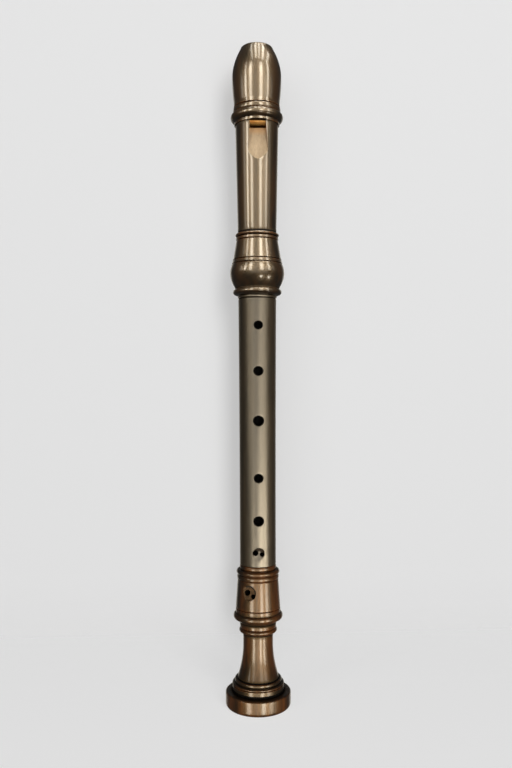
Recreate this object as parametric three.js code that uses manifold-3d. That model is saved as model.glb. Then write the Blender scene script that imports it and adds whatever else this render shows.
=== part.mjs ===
// Alto recorder in three joints, with its block and the cork on its two tenons.
// Millimetres. The instrument stands on its foot: the origin is the centre of the foot's end face,
// +Z runs up the bore to the beak, -Y is the front with the window and the finger holes.

import * as THREE from 'three';
import { mergeVertices } from 'three/addons/utils/BufferGeometryUtils.js';
import Module from 'manifold-3d';

const wasm = await Module();
wasm.setup();

// Fits and smoothness
const seatGap = 0.3; // between one joint's shoulder and the next joint's rim
const tenonGap = 0.3; // all round a tenon's bare wood, in its socket
const corkGap = 0.15; // round a cork band, inside and outside
const blockGap = 0.15; // round the block, in the bore and the windway
const tenonEndGap = 0.8; // between a tenon's end and its socket's floor
const pastSurface = 10; // how far a cutter reaches beyond what it cuts
const turnedFacets = 32; // flats round a turned surface
const holeFacets = 16; // flats round a finger hole
const recessFacets = 24; // flats round the recess of a pair of holes
const beakCutFacets = 64; // flats round the large cylinder that hollows the beak's back
const curveSteps = 3; // chords in a curve, and half the chords in a bead

// Foot: base
const baseRadius = 23.75;
const baseHeight = 11.3;
const baseLowerRound = 2.8;
const baseUpperRound = 1.2;
const baseBandRadius = 18.8;
const baseBandHeight = 4.5;
const baseBeadRadius = 17.6;
const baseBeadHeight = 2.0;
const baseBeadSwell = 1.25;
const baseRingRadius = 16.4;
const baseRingHeight = 2.7;
const baseRingSwell = 0.7;

// Foot: neck and collar
const neckLowerRadius = 15.3;
const neckWaistRadius = 10.9;
const neckFlareHeight = 25.0;
const neckStemHeight = 8.0;
const collarRootRadius = 11.2;
const collarHeight = 4.2;
const collarSwell = 2.6;
const coveLowerRadius = 13.2;
const coveUpperRadius = 16.3;
const coveStemHeight = 1.9;
const coveHeight = 4.0;
const flangeRootRadius = 16.3;
const flangeHeight = 4.7;
const flangeSwell = 1.65;

// Foot: socket barrel, its two rims and the lip that meets the middle
const barrelLowerRadius = 16.45;
const barrelUpperRadius = 14.9;
const barrelHeight = 24.1;
const barrelLineInset = 3.0; // from the barrel's lower end to the line cut round it
const lowerRimRadius = 14.2;
const lowerRimHeight = 3.8;
const lowerRimSwell = 1.0;
const upperRimRadius = 14.0;
const upperRimHeight = 3.6;
const upperRimSwell = 1.65;
const lipRadius = 12.75;
const lipHeight = 3.2;
const lipSwell = 0.6;

// Foot: bore
const footBoreUpperRadius = 6.9;
const footBoreLowerRadius = 6.3;

// Middle: body, bore and tenons
const middleLength = 195.2; // between the two shoulders
const middleLowerRadius = 13.08;
const middleUpperRadius = 13.8;
const middleRimHeight = 1.6;
const middleRimSwell = 0.4;
const middleBoreLowerRadius = 6.9;
const middleBoreUpperRadius = 8.9;
const lowerShoulderWidth = 2.8; // from the body's surface in to the tenon
const upperShoulderWidth = 1.7;
const lowerTenonLength = 14.0;
const upperTenonLength = 26.0;
const lowerCorkLength = 8.4;
const upperCorkLength = 16.0;
const corkThickness = 0.9;

// Head: socket end and bulb
const endRadius = 14.0;
const endBeadRadius = 17.75;
const endBeadLowerHeight = 2.4;
const endBeadUpperHeight = 2.5;
const bulbStemRadius = 16.2;
const bulbStemInset = 0.6; // the bead closes in to this much less than the stem above it
const bulbStemHeight = 0.8;
const bulbRadius = 19.75;
const bulbLowerHeight = 10.5;
const bulbUpperRadius = 18.5;
const bulbUpperHeight = 6.75;
const bulbRingLowerRadius = 18.35;
const bulbRingUpperRadius = 17.85;
const bulbRingHeight = 2.3;
const coneLowerRadius = 17.5;
const coneTangentRadius = 16.3; // the cone flares a little towards the bulb
const coneUpperRadius = 15.3;
const coneHeight = 13.75;

// Head: barrel, rings and beak
const waistFilletRadius = 15.4;
const waistFilletHeight = 2.0;
const waistBeadRadius = 14.6;
const waistBeadHeight = 2.8;
const waistBeadSwell = 1.35;
const stalkLowerRadius = 14.1;
const stalkUpperRadius = 15.75;
const stalkHeight = 78.8;
const ringFilletRadius = 16.5;
const ringFilletHeight = 2.1;
const ringRadius = 16.0;
const ringHeight = 6.7;
const ringSwell = 3.15;
const beakBeadRadius = 16.9;
const beakBeadHeight = 3.7;
const beakBeadSwell = 0.45;
const beakFootRadius = 17.15;
const beakFootHeight = 3.1;
const beakRootRadius = 16.65;
const beakRadius = 17.9;
const beakSwellHeight = 18.7;
const beakTipRadius = 11.8;
const beakOgiveHeight = 22.0;
const beakTipRound = 0.6;

// Lines cut round the turned surfaces
const lineWidth = 0.5;
const lineDepth = 0.35;

// Head: bore, windway, window and edge
const headBoreRadius = 9.0;
const windwayWidth = 12.0;
const windwayRise = 0.5; // from the bore's wall up to the windway's flat roof
const windwayInset = 0.5; // from the ring's lower side up to the windway's end
const windwayInnerHeight = 1.05; // at the window
const windwayOuterHeight = 1.8; // at the beak's end
const roofChamfer = 1.6; // on the windway's roof, at the window
const blockChamfer = 0.5; // on the block's front edge, at the window
const cutUp = 4.9; // from the windway's end to the edge
const edgeThickness = 0.4;
const edgeRise = 0.05; // from the bore's wall up to the edge's underside
const edgeUndercut = 6.0; // length of the flat under the edge
const rampAngle = THREE.MathUtils.degToRad(13.6);
const rampFlare = THREE.MathUtils.degToRad(4.2); // how far each side wall of the ramp leans out

// Head: the curved cut behind the beak
const beakCutLength = 39.0;
const beakCutTipDepth = 3.0; // wood left behind the axis at the beak's end
const beakCutHollow = 4.0; // how far the cut sinks below its own chord

// Single holes in the middle: the right hand's two above the lower shoulder, the left hand's below the upper
const rightHandHoles = [
  { height: 32.9, diameter: 6.8 },
  { height: 63.6, diameter: 6.1 },
];
const leftHandHoles = [
  { drop: 90.5, diameter: 7.1 },
  { drop: 54.8, diameter: 6.3 },
  { drop: 22.0, diameter: 5.7 },
];
const thumbHoleDrop = 11.7;
const thumbHoleDiameter = 5.6;

// The ring finger's pair in the middle and the little finger's pair in the foot. Each pair opens in a round,
// flat-floored recess that is tilted, so that it runs out on one side and ends in a step on the other.
const pairLargeDiameter = 4.1;
const pairSmallDiameter = 3.3;
const recessTilt = THREE.MathUtils.degToRad(16);
const pairHeight = 10.1; // the left hole, above the middle's lower shoulder
const pairDrop = 1.1; // the right hole sits this much lower
const pairHalfAngle = THREE.MathUtils.degToRad(11.5);
const pairRecessWidth = 8.8;
const pairRecessDepth = 0.9;
const footPairBelowLip = 17.9; // the left hole, below the foot's upper end
const footPairDrop = 2.4;
const footPairHalfAngle = THREE.MathUtils.degToRad(9);
const footPairRecessWidth = 11.2;
const footPairRecessRise = 0.8; // of the recess's centre over the middle of the pair
const footPairRecessLeft = THREE.MathUtils.degToRad(4.5); // and how far it lies left of it
const footPairRecessDepth = 1.5;
const footPairRecessTurn = THREE.MathUtils.degToRad(40); // its step lies this far right of the top
const footTurn = THREE.MathUtils.degToRad(-25.6); // how far the foot is turned from the front line

// Materials
const headWood = new THREE.MeshStandardMaterial({ color: '#5b4a38', roughness: 0.28, metalness: 0 });
const middleWood = new THREE.MeshStandardMaterial({ color: '#57493a', roughness: 0.5, metalness: 0 });
const footWood = new THREE.MeshStandardMaterial({ color: '#6a4a30', roughness: 0.3, metalness: 0 });
const cedar = new THREE.MeshStandardMaterial({ color: '#b98248', roughness: 0.75, metalness: 0 });
const cork = new THREE.MeshStandardMaterial({ color: '#c09a68', roughness: 0.95, metalness: 0 });

// Heights along the bore that more than one piece shares
const footLength = baseHeight + baseBandHeight + baseBeadHeight + baseRingHeight
  + neckFlareHeight + neckStemHeight + collarHeight + coveStemHeight + coveHeight
  + flangeHeight + barrelHeight + lowerRimHeight + upperRimHeight + lipHeight;
const lowerShoulder = footLength + seatGap;
const upperShoulder = lowerShoulder + middleLength;
const headEnd = upperShoulder + seatGap;

// Each socket is made to its tenon.
const lowerTenonRadius = middleLowerRadius - lowerShoulderWidth;
const upperTenonRadius = middleUpperRadius - upperShoulderWidth;
const footSocketRadius = lowerTenonRadius + tenonGap;
const headSocketRadius = upperTenonRadius + tenonGap;
const footSocketFloor = lowerShoulder - lowerTenonLength - tenonEndGap;
const headSocketFloor = upperShoulder + upperTenonLength + tenonEndGap;

// Heights up the head
const ringBottom = headEnd + endBeadLowerHeight + endBeadUpperHeight + bulbStemHeight
  + bulbLowerHeight + bulbUpperHeight + bulbRingHeight + coneHeight
  + waistFilletHeight + 3 * lineWidth + waistBeadHeight + stalkHeight;
const beakRoot = ringBottom + ringFilletHeight + ringHeight + beakBeadHeight + lineWidth + beakFootHeight;
const beakTip = beakRoot + beakSwellHeight + beakOgiveHeight;

// The windway ends just above the ring's lower side, and the edge lies a cut-up below that.
const windwayEnd = ringBottom + windwayInset;
const edge = windwayEnd - cutUp;

// Heights in front of the bore's axis
const windwayRoof = headBoreRadius + windwayRise;
const windwayFloorInner = windwayRoof - windwayInnerHeight;
const windwayFloorOuter = windwayRoof - windwayOuterHeight;
const edgeUnderside = headBoreRadius + edgeRise;

// A turned outline is a path of (radius, height) points. These add to it from where it ends.
function stepTo(path, radius) {
  path.lineTo(radius, path.currentPoint.y);
}

function riseTo(path, height, radius = path.currentPoint.x) {
  path.lineTo(radius, path.currentPoint.y + height);
}

function bead(path, rootRadius, height, swell) {
  stepTo(path, rootRadius);
  const middle = path.currentPoint.y + height / 2;
  path.absellipse(rootRadius, middle, swell, height / 2, -Math.PI / 2, Math.PI / 2);
}

function line(path) {
  const { x, y } = path.currentPoint;
  path.lineTo(x - lineDepth, y + lineWidth / 2);
  path.lineTo(x, y + lineWidth);
}

function curveTo(path, height, radius, tangentRadius) {
  const { y } = path.currentPoint;
  path.quadraticCurveTo(tangentRadius, y + height / 2, radius, y + height);
}

// Quarter ellipses: one swells outwards as it rises, the other closes in.
function roundOut(path, height, width = height) {
  const { x, y } = path.currentPoint;
  path.absellipse(x, y + height, width, height, -Math.PI / 2, 0);
}

function roundIn(path, height, width = height) {
  const { x, y } = path.currentPoint;
  path.absellipse(x - width, y, width, height, 0, Math.PI / 2);
}

// Spins a closed outline round Z. Flat zero of the facets faces the front.
function turned(path) {
  const points = path.getPoints(curveSteps);
  points.push(points[0].clone());
  const geometry = new THREE.LatheGeometry(points, turnedFacets);
  geometry.rotateX(Math.PI / 2);
  return solidOf(geometry);
}

function solidOf(geometry) {
  const bare = geometry.clone();
  bare.deleteAttribute('normal');
  bare.deleteAttribute('uv');
  const merged = mergeVertices(bare);
  return new wasm.Manifold(new wasm.Mesh({
    numProp: 3,
    vertProperties: new Float32Array(merged.attributes.position.array),
    triVerts: new Uint32Array(merged.index.array),
  }));
}

function meshOf(solid, name, material) {
  const { vertProperties, triVerts } = solid.getMesh();
  const geometry = new THREE.BufferGeometry();
  geometry.setAttribute('position', new THREE.BufferAttribute(vertProperties, 3));
  geometry.setIndex(new THREE.BufferAttribute(triVerts, 1));
  geometry.computeVertexNormals();
  const mesh = new THREE.Mesh(geometry, material);
  mesh.name = name;
  return mesh;
}

// A round cutter from the bore's axis out through the wall. Angle 0 is the front, positive to the right.
function radialHole(diameter, height, angle, reach) {
  const geometry = new THREE.CylinderGeometry(diameter / 2, diameter / 2, reach, holeFacets);
  geometry.translate(0, -reach / 2, 0);
  geometry.rotateZ(angle);
  geometry.translate(0, 0, height);
  return solidOf(geometry);
}

// A flat-ended round cutter that sinks a tilted recess to the given depth at its centre.
// Turn 0 puts the deep side at the top, and a positive turn moves it to the right.
function recess({ width, depth, turn, height, angle, wallRadius }) {
  const geometry = new THREE.CylinderGeometry(width / 2, width / 2, pastSurface, recessFacets);
  geometry.translate(0, -pastSurface / 2, 0);
  geometry.rotateX(-recessTilt);
  geometry.rotateY(turn);
  geometry.translate(0, depth - wallRadius, 0);
  geometry.rotateZ(angle);
  geometry.translate(0, 0, height);
  return solidOf(geometry);
}

// A larger hole on the left and a smaller, lower one on the right.
function holePair({ height, angle, halfAngle, drop, wallRadius }) {
  const reach = wallRadius + pastSurface;
  const left = radialHole(pairLargeDiameter, height, angle - halfAngle, reach);
  const right = radialHole(pairSmallDiameter, height - drop, angle + halfAngle, reach);
  return left.add(right);
}

// An outline in the (height along the bore, height in front of the axis) plane, as wide as the windway.
function frontCutter(points, width) {
  const outline = new THREE.Shape(points.map(([along, front]) => new THREE.Vector2(along, front)));
  const geometry = new THREE.ExtrudeGeometry(outline, { depth: width, bevelEnabled: false });
  geometry.translate(0, 0, -width / 2);
  geometry.applyMatrix4(new THREE.Matrix4().set(
    0, 0, 1, 0,
    0, -1, 0, 0,
    1, 0, 0, 0,
    0, 0, 0, 1,
  ));
  return solidOf(geometry);
}

// The hollow behind the beak: a large cylinder across it, through the tip's back and the beak's root.
function beakCut() {
  const high = new THREE.Vector2(beakCutTipDepth, beakTip);
  const low = new THREE.Vector2(beakRadius, beakTip - beakCutLength);
  const chord = high.distanceTo(low);
  const radius = chord * chord / (8 * beakCutHollow) + beakCutHollow / 2;
  const along = high.clone().sub(low).normalize();
  const outward = new THREE.Vector2(along.y, -along.x);
  const centre = high.clone().add(low).multiplyScalar(0.5).addScaledVector(outward, radius - beakCutHollow);
  const across = 2 * beakRadius + pastSurface;
  const geometry = new THREE.CylinderGeometry(radius, radius, across, beakCutFacets);
  geometry.rotateZ(Math.PI / 2);
  geometry.translate(0, centre.x, centre.y);
  return solidOf(geometry);
}

function footJoint() {
  const path = new THREE.Path();
  path.moveTo(footBoreLowerRadius, 0);
  stepTo(path, baseRadius - baseLowerRound);
  roundOut(path, baseLowerRound);
  riseTo(path, baseHeight - baseLowerRound - baseUpperRound);
  roundIn(path, baseUpperRound);
  stepTo(path, baseBandRadius);
  riseTo(path, baseBandHeight);
  bead(path, baseBeadRadius, baseBeadHeight, baseBeadSwell);
  bead(path, baseRingRadius, baseRingHeight, baseRingSwell);
  stepTo(path, neckLowerRadius);
  curveTo(path, neckFlareHeight, neckWaistRadius, neckWaistRadius);
  riseTo(path, neckStemHeight);
  bead(path, collarRootRadius, collarHeight, collarSwell);
  stepTo(path, coveLowerRadius);
  riseTo(path, coveStemHeight);
  curveTo(path, coveHeight, coveUpperRadius, coveLowerRadius);
  bead(path, flangeRootRadius, flangeHeight, flangeSwell);
  stepTo(path, barrelLowerRadius);
  barrelWithLine(path);
  bead(path, lowerRimRadius, lowerRimHeight, lowerRimSwell);
  bead(path, upperRimRadius, upperRimHeight, upperRimSwell);
  bead(path, lipRadius, lipHeight, lipSwell);
  stepTo(path, footSocketRadius);
  path.lineTo(footSocketRadius, footSocketFloor);
  stepTo(path, footBoreUpperRadius);
  return turned(path).subtract(footPair());
}

function footPair() {
  const height = footLength - footPairBelowLip;
  const wallRadius = (barrelLowerRadius + barrelUpperRadius) / 2;
  const holes = holePair({
    height,
    angle: footTurn,
    halfAngle: footPairHalfAngle,
    drop: footPairDrop,
    wallRadius,
  });
  return holes.add(recess({
    width: footPairRecessWidth,
    depth: footPairRecessDepth,
    turn: footPairRecessTurn,
    height: height - footPairDrop / 2 + footPairRecessRise,
    angle: footTurn - footPairRecessLeft,
    wallRadius,
  }));
}

// The foot's barrel tapers upwards, with a line cut round it near its lower end.
function barrelWithLine(path) {
  const start = path.currentPoint.y;
  const taper = (barrelUpperRadius - barrelLowerRadius) / barrelHeight;
  path.lineTo(barrelLowerRadius + taper * barrelLineInset, start + barrelLineInset);
  line(path);
  path.lineTo(barrelUpperRadius, start + barrelHeight);
}

// A tenon's outline from its shoulder to its end, with the groove for the cork halfway along.
// Direction is 1 for a tenon that points up and -1 for one that points down.
function tenonPoints(shoulder, length, radius, corkLength, direction) {
  const grooveRadius = radius + tenonGap - corkThickness - 2 * corkGap;
  const bare = (length - corkLength) / 2 - corkGap;
  return [
    [radius, shoulder],
    [radius, shoulder + direction * bare],
    [grooveRadius, shoulder + direction * bare],
    [grooveRadius, shoulder + direction * (length - bare)],
    [radius, shoulder + direction * (length - bare)],
    [radius, shoulder + direction * length],
  ];
}

function corkBand(shoulder, length, socketRadius, corkLength, direction) {
  const outer = socketRadius - corkGap;
  const middle = shoulder + direction * length / 2;
  const path = new THREE.Path();
  path.moveTo(outer - corkThickness, middle - corkLength / 2);
  path.lineTo(outer, middle - corkLength / 2);
  path.lineTo(outer, middle + corkLength / 2);
  path.lineTo(outer - corkThickness, middle + corkLength / 2);
  return turned(path);
}

function middleJoint() {
  const lowerTenon = tenonPoints(lowerShoulder, lowerTenonLength, lowerTenonRadius, lowerCorkLength, -1);
  const upperTenon = tenonPoints(upperShoulder, upperTenonLength, upperTenonRadius, upperCorkLength, 1);
  const path = new THREE.Path();
  path.moveTo(middleBoreLowerRadius, lowerShoulder - lowerTenonLength);
  lowerTenon.reverse().forEach(([radius, height]) => path.lineTo(radius, height));
  stepTo(path, middleLowerRadius);
  curveTo(path, middleLength - middleRimHeight - lineWidth, middleUpperRadius, middleLowerRadius);
  line(path);
  bead(path, middleUpperRadius, middleRimHeight, middleRimSwell);
  upperTenon.forEach(([radius, height]) => path.lineTo(radius, height));
  stepTo(path, middleBoreUpperRadius);
  return turned(path).subtract(middleHoles());
}

function middleHoles() {
  const reach = middleUpperRadius + pastSurface;
  const pair = lowerShoulder + pairHeight;
  const thumbHole = radialHole(thumbHoleDiameter, upperShoulder - thumbHoleDrop, Math.PI, reach);
  const cutters = [
    ...rightHandHoles.map((hole) => radialHole(hole.diameter, lowerShoulder + hole.height, 0, reach)),
    ...leftHandHoles.map((hole) => radialHole(hole.diameter, upperShoulder - hole.drop, 0, reach)),
    holePair({
      height: pair,
      angle: 0,
      halfAngle: pairHalfAngle,
      drop: pairDrop,
      wallRadius: middleLowerRadius,
    }),
    recess({
      width: pairRecessWidth,
      depth: pairRecessDepth,
      turn: 0,
      height: pair - pairDrop / 2,
      angle: 0,
      wallRadius: middleLowerRadius,
    }),
  ];
  return cutters.reduce((joined, cutter) => joined.add(cutter), thumbHole);
}

function headJoint() {
  const path = new THREE.Path();
  path.moveTo(headSocketRadius, headEnd);
  stepTo(path, endRadius);
  roundOut(path, endBeadLowerHeight, endBeadRadius - endRadius);
  roundIn(path, endBeadUpperHeight, endBeadRadius - bulbStemRadius + bulbStemInset);
  stepTo(path, bulbStemRadius);
  riseTo(path, bulbStemHeight);
  curveTo(path, bulbLowerHeight, bulbRadius, bulbRadius);
  curveTo(path, bulbUpperHeight, bulbUpperRadius, bulbRadius);
  line(path);
  stepTo(path, bulbRingLowerRadius);
  riseTo(path, bulbRingHeight, bulbRingUpperRadius);
  line(path);
  stepTo(path, coneLowerRadius);
  curveTo(path, coneHeight, coneUpperRadius, coneTangentRadius);
  line(path);
  stepTo(path, waistFilletRadius);
  riseTo(path, waistFilletHeight);
  bead(path, waistBeadRadius, waistBeadHeight, waistBeadSwell);
  stepTo(path, stalkLowerRadius);
  riseTo(path, stalkHeight, stalkUpperRadius);
  stepTo(path, ringFilletRadius);
  riseTo(path, ringFilletHeight);
  bead(path, ringRadius, ringHeight, ringSwell);
  bead(path, beakBeadRadius, beakBeadHeight, beakBeadSwell);
  line(path);
  stepTo(path, beakFootRadius);
  curveTo(path, beakFootHeight, beakRootRadius, beakRootRadius);
  curveTo(path, beakSwellHeight, beakRadius, beakRadius);
  curveTo(path, beakOgiveHeight - beakTipRound, beakTipRadius, beakRadius);
  roundIn(path, beakTipRound);
  stepTo(path, headBoreRadius);
  path.lineTo(headBoreRadius, headSocketFloor);
  stepTo(path, headSocketRadius);
  return turned(path).subtract(windowCut()).subtract(rampCut()).subtract(beakCut());
}

// The windway, the open window and the flat under the edge, as one cut of the windway's width.
function windowCut() {
  const outside = ringRadius + ringSwell + pastSurface;
  return frontCutter([
    [edge - edgeUndercut, 0],
    [beakTip + pastSurface, 0],
    [beakTip + pastSurface, windwayRoof],
    [windwayEnd + roofChamfer, windwayRoof],
    [windwayEnd, windwayRoof + roofChamfer],
    [windwayEnd, outside],
    [edge, outside],
    [edge, edgeUnderside],
    [edge - edgeUndercut, edgeUnderside],
  ], windwayWidth);
}

// The sloping face below the window: everything above its plane, between side walls that lean out.
function rampCut() {
  const run = stalkUpperRadius / Math.tan(rampAngle);
  const start = edgeUnderside + edgeThickness;
  const top = start + run * Math.tan(rampAngle);
  const halfWidth = windwayWidth / 2;
  const lowHalfWidth = halfWidth + run * Math.tan(rampFlare);
  const side = frontCutter([[edge, start], [edge, top], [edge - run, top]], 2 * lowHalfWidth + pastSurface);
  const plan = new THREE.Shape([
    new THREE.Vector2(-lowHalfWidth, edge - run),
    new THREE.Vector2(lowHalfWidth, edge - run),
    new THREE.Vector2(halfWidth, edge),
    new THREE.Vector2(-halfWidth, edge),
  ]);
  const planGeometry = new THREE.ExtrudeGeometry(plan, { depth: top, bevelEnabled: false });
  planGeometry.rotateX(Math.PI / 2);
  return side.intersect(solidOf(planGeometry));
}

// A cedar plug that fills the bore below the windway and carries the windway's floor.
function block() {
  const radius = headBoreRadius - blockGap;
  const path = new THREE.Path();
  path.moveTo(0, windwayEnd);
  path.lineTo(radius, windwayEnd);
  path.lineTo(radius, beakTip);
  path.lineTo(0, beakTip);
  const key = frontCutter([
    [windwayEnd, 0],
    [beakTip, 0],
    [beakTip, windwayFloorOuter],
    [windwayEnd, windwayFloorInner],
  ], windwayWidth - 2 * blockGap);
  const chamferLow = windwayFloorInner - blockChamfer;
  const above = frontCutter([
    [windwayEnd - pastSurface, chamferLow],
    [windwayEnd, chamferLow],
    [windwayEnd + blockChamfer, windwayFloorInner],
    [beakTip, windwayFloorOuter],
    [beakTip + pastSurface, windwayFloorOuter],
    [beakTip + pastSurface, windwayRoof + pastSurface],
    [windwayEnd - pastSurface, windwayRoof + pastSurface],
  ], 2 * headBoreRadius);
  return turned(path).add(key).subtract(above).subtract(beakCut());
}

const lowerCork = corkBand(lowerShoulder, lowerTenonLength, footSocketRadius, lowerCorkLength, -1);
const upperCork = corkBand(upperShoulder, upperTenonLength, headSocketRadius, upperCorkLength, 1);

const recorder = new THREE.Group();
recorder.name = 'alto_recorder';
recorder.add(meshOf(footJoint(), 'foot_joint', footWood));
recorder.add(meshOf(lowerCork, 'lower_tenon_cork', cork));
recorder.add(meshOf(middleJoint(), 'middle_joint', middleWood));
recorder.add(meshOf(upperCork, 'upper_tenon_cork', cork));
recorder.add(meshOf(headJoint(), 'head_joint', headWood));
recorder.add(meshOf(block(), 'block', cedar));

export default recorder;
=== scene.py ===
import math

import bmesh
import bpy
import numpy as np
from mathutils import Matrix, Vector


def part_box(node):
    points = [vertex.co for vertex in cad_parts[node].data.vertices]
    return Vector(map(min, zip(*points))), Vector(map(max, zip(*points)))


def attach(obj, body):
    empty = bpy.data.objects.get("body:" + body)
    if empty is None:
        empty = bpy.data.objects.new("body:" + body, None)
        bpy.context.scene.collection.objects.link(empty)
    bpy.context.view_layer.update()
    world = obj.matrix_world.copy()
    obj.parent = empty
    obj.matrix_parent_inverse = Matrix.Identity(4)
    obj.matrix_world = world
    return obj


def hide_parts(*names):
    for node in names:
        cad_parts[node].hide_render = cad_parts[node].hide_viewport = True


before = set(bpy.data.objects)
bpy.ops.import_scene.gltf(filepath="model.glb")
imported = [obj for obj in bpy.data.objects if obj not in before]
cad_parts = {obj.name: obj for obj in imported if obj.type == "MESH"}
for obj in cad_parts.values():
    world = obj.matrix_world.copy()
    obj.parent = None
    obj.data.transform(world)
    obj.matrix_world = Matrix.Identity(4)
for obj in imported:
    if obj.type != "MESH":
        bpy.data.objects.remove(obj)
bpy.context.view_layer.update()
print("frame loaded:", sorted(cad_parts))

mm = 0.001
scene = bpy.context.scene
scene.view_settings.view_transform = "Standard"


# heights in millimetres of the ends of a CAD node, so that every turned piece starts and stops with its solid
def endsOf(node):
    low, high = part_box(node)
    return low.z / mm, high.z / mm


footBottom, footTop = endsOf("foot_joint")
middleBottom, middleTop = endsOf("middle_joint")
headBottom, headTop = endsOf("head_joint")
blockBottom, blockTop = endsOf("block")


# camera

cameraValues = {
    "distance": 548.7,      # from the bore's axis
    "height": 234.4,
    "turn": -3.0,           # degrees round the instrument, seen from above
    "lens": 35.16,
    "sensor": 36,
    "yaw": -0.113,          # degrees, brings the axis a little right of the middle
    "roll": 0.146,          # degrees, the instrument leans a little in the picture
    "nearest": 10,          # what is closer than this isn't shown
}


def makeCamera(values):
    camera = bpy.data.objects.new("camera", bpy.data.cameras.new("camera"))
    scene.collection.objects.link(camera)
    camera.data.lens = values["lens"]
    camera.data.sensor_width = values["sensor"]
    turn = math.radians(values["turn"])
    away = values["distance"] * mm
    camera.location = (away * math.sin(turn), -away * math.cos(turn), values["height"] * mm)
    camera.rotation_mode = "XYZ"
    camera.rotation_euler = (
        math.radians(90),   # level
        math.radians(values["roll"]),
        turn - math.radians(values["yaw"]),
    )
    camera.data.clip_start = values["nearest"] * mm
    scene.camera = camera


makeCamera(cameraValues)
print("camera set")


# turned outlines

turning = {
    "fineStep": 0.04,           # walking step along an outline
    "longest": 2.6,             # longest gap between two kept points
    "bendPerPoint": 0.12,       # radians of bend that one kept point may take
    "segments": 132,            # columns round the axis
    "lineWidth": 0.75,          # of a line cut round a surface
    "lineDepth": 1.1,
    "curvePoints": 40,          # on each bead, curve or quarter ellipse
    "bellReach": 3,             # widths of a bell curve that count
    "neighbourhood": 0.5,       # width of the mean that tells crests from hollows
    "wideNeighbourhood": 1.7,   # and of the one that tells coves
    "waxedAndShaded": 0.1,               # hollows deeper than this are filled with dark wax and painted shade
    "coved": 0.28,              # and so are coves deeper than this
    "smoothUpTo": 32,           # degrees between two faces that are shaded as one
}


# an outline is a list of (radius, height) points; each turn carries on from the last point:
# step = sideways, rise = straight up or along a taper, bead = half an ellipse that bulges out,
# curve = a parabola through a tangent radius, line = a V cut, out and in = quarter ellipses
def cutOutline(start, turns):
    runs = [np.array([start], float)]
    share = np.linspace(0, 1, turning["curvePoints"])
    for kind, *sizes in turns:
        radius, height = runs[-1][-1]
        if kind == "step":
            run = [(sizes[0], height)]
        elif kind == "rise":
            run = [(sizes[1] if len(sizes) > 1 else radius, height + sizes[0])]
        elif kind == "bead":
            root, tall, swell = sizes
            sweep = (share - 0.5) * math.pi
            run = np.column_stack([root + swell * np.cos(sweep), height + tall / 2 * (1 + np.sin(sweep))])
        elif kind == "curve":
            tall, end, tangent = sizes
            across = (1 - share) ** 2 * radius + 2 * share * (1 - share) * tangent + share ** 2 * end
            run = np.column_stack([across, height + tall * share])
        elif kind == "line":
            wide, deep = turning["lineWidth"], turning["lineDepth"]
            run = [(radius - deep, height + wide / 2), (radius, height + wide)]
        else:
            tall, end = sizes
            early, late = np.sin(share * math.pi / 2), 1 - np.cos(share * math.pi / 2)
            across, up = (early, late) if kind == "out" else (late, early)
            run = np.column_stack([radius + (end - radius) * across, height + tall * up])
        runs.append(np.asarray(run, float))
    return np.vstack(runs)


# walks the closed outline in equal small steps, averages it with a bell-shaped weight, which rounds every
# arris, and keeps points that crowd where it bends; also returns how far, in millimetres, each kept point
# stands out from the mean of its near and of its wide neighbourhood: above zero on crests, below in hollows
def softened(outline, soft):
    step = turning["fineStep"]
    loop = np.vstack([outline, outline[:1]])
    along = np.concatenate([[0], np.cumsum(np.hypot(*np.diff(loop, axis=0).T))])
    places = np.linspace(0, along[-1], int(along[-1] / step), endpoint=False)
    fine = np.column_stack([np.interp(places, along, loop[:, k]) for k in (0, 1)])
    smooth = bellAverage(fine, soft / step)
    ahead = np.roll(smooth, -1, 0) - np.roll(smooth, 1, 0)
    heading = np.unwrap(np.arctan2(ahead[:, 1], ahead[:, 0]))
    bend = np.gradient(heading)
    spent = np.cumsum(step / turning["longest"] + np.abs(bend) / turning["bendPerPoint"])
    picks = np.interp(np.arange(0, spent[-1], 1.0), spent, np.arange(len(spent)))
    outward = np.column_stack([ahead[:, 1], -ahead[:, 0]]) / np.hypot(*ahead.T)[:, None]
    means = [bellAverage(smooth, turning[width] / step) for width in ("neighbourhood", "wideNeighbourhood")]
    reliefs = [np.sum((smooth - mean) * outward, axis=1) for mean in means]
    kept = [np.interp(picks, np.arange(len(spent)), column) for column in (*smooth.T, *reliefs)]
    return np.column_stack(kept[:2]), kept[2], kept[3]


# mean of the neighbours of each row, weighted by a bell curve of the given width in rows; the rows are a loop
def bellAverage(rows, width):
    reach = int(turning["bellReach"] * width)
    weights = np.exp(-0.5 * (np.arange(-reach, reach + 1) / width) ** 2)
    padded = np.pad(rows, ((reach, reach), (0, 0)), mode="wrap")
    return np.column_stack([np.convolve(c, weights / weights.sum(), "valid") for c in padded.T])


# equal angles all the way round
def circle(count):
    return np.linspace(0, 2 * math.pi, count, endpoint=False)


# a grid of quads over rows of points; columns always close on themselves
def gridFaces(rows, columns, closed):
    i = np.arange(rows if closed else rows - 1)[:, None]
    j = np.arange(columns)[None, :]
    up, on = (i + 1) % rows, (j + 1) % columns
    corners = np.stack([i * columns + j, i * columns + on, up * columns + on, up * columns + j], axis=-1)
    return corners.reshape(-1, 4)


# each outline point (r, z) swung round Z by angle a: (r sin a, -r cos a, z), so that a = 0 is the front
def spin(outline):
    angles = circle(turning["segments"])
    radius, height = outline.T
    return np.stack([
        np.outer(radius, np.sin(angles)),
        -np.outer(radius, np.cos(angles)),
        np.outer(height, np.ones_like(angles)),
    ], axis=-1)


def newObject(name, points, faces):
    mesh = bpy.data.meshes.new(name)
    mesh.from_pydata((points.reshape(-1, 3) * mm).tolist(), [], faces)
    made = bpy.data.objects.new(name, mesh)
    scene.collection.objects.link(made)
    return made
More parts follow.
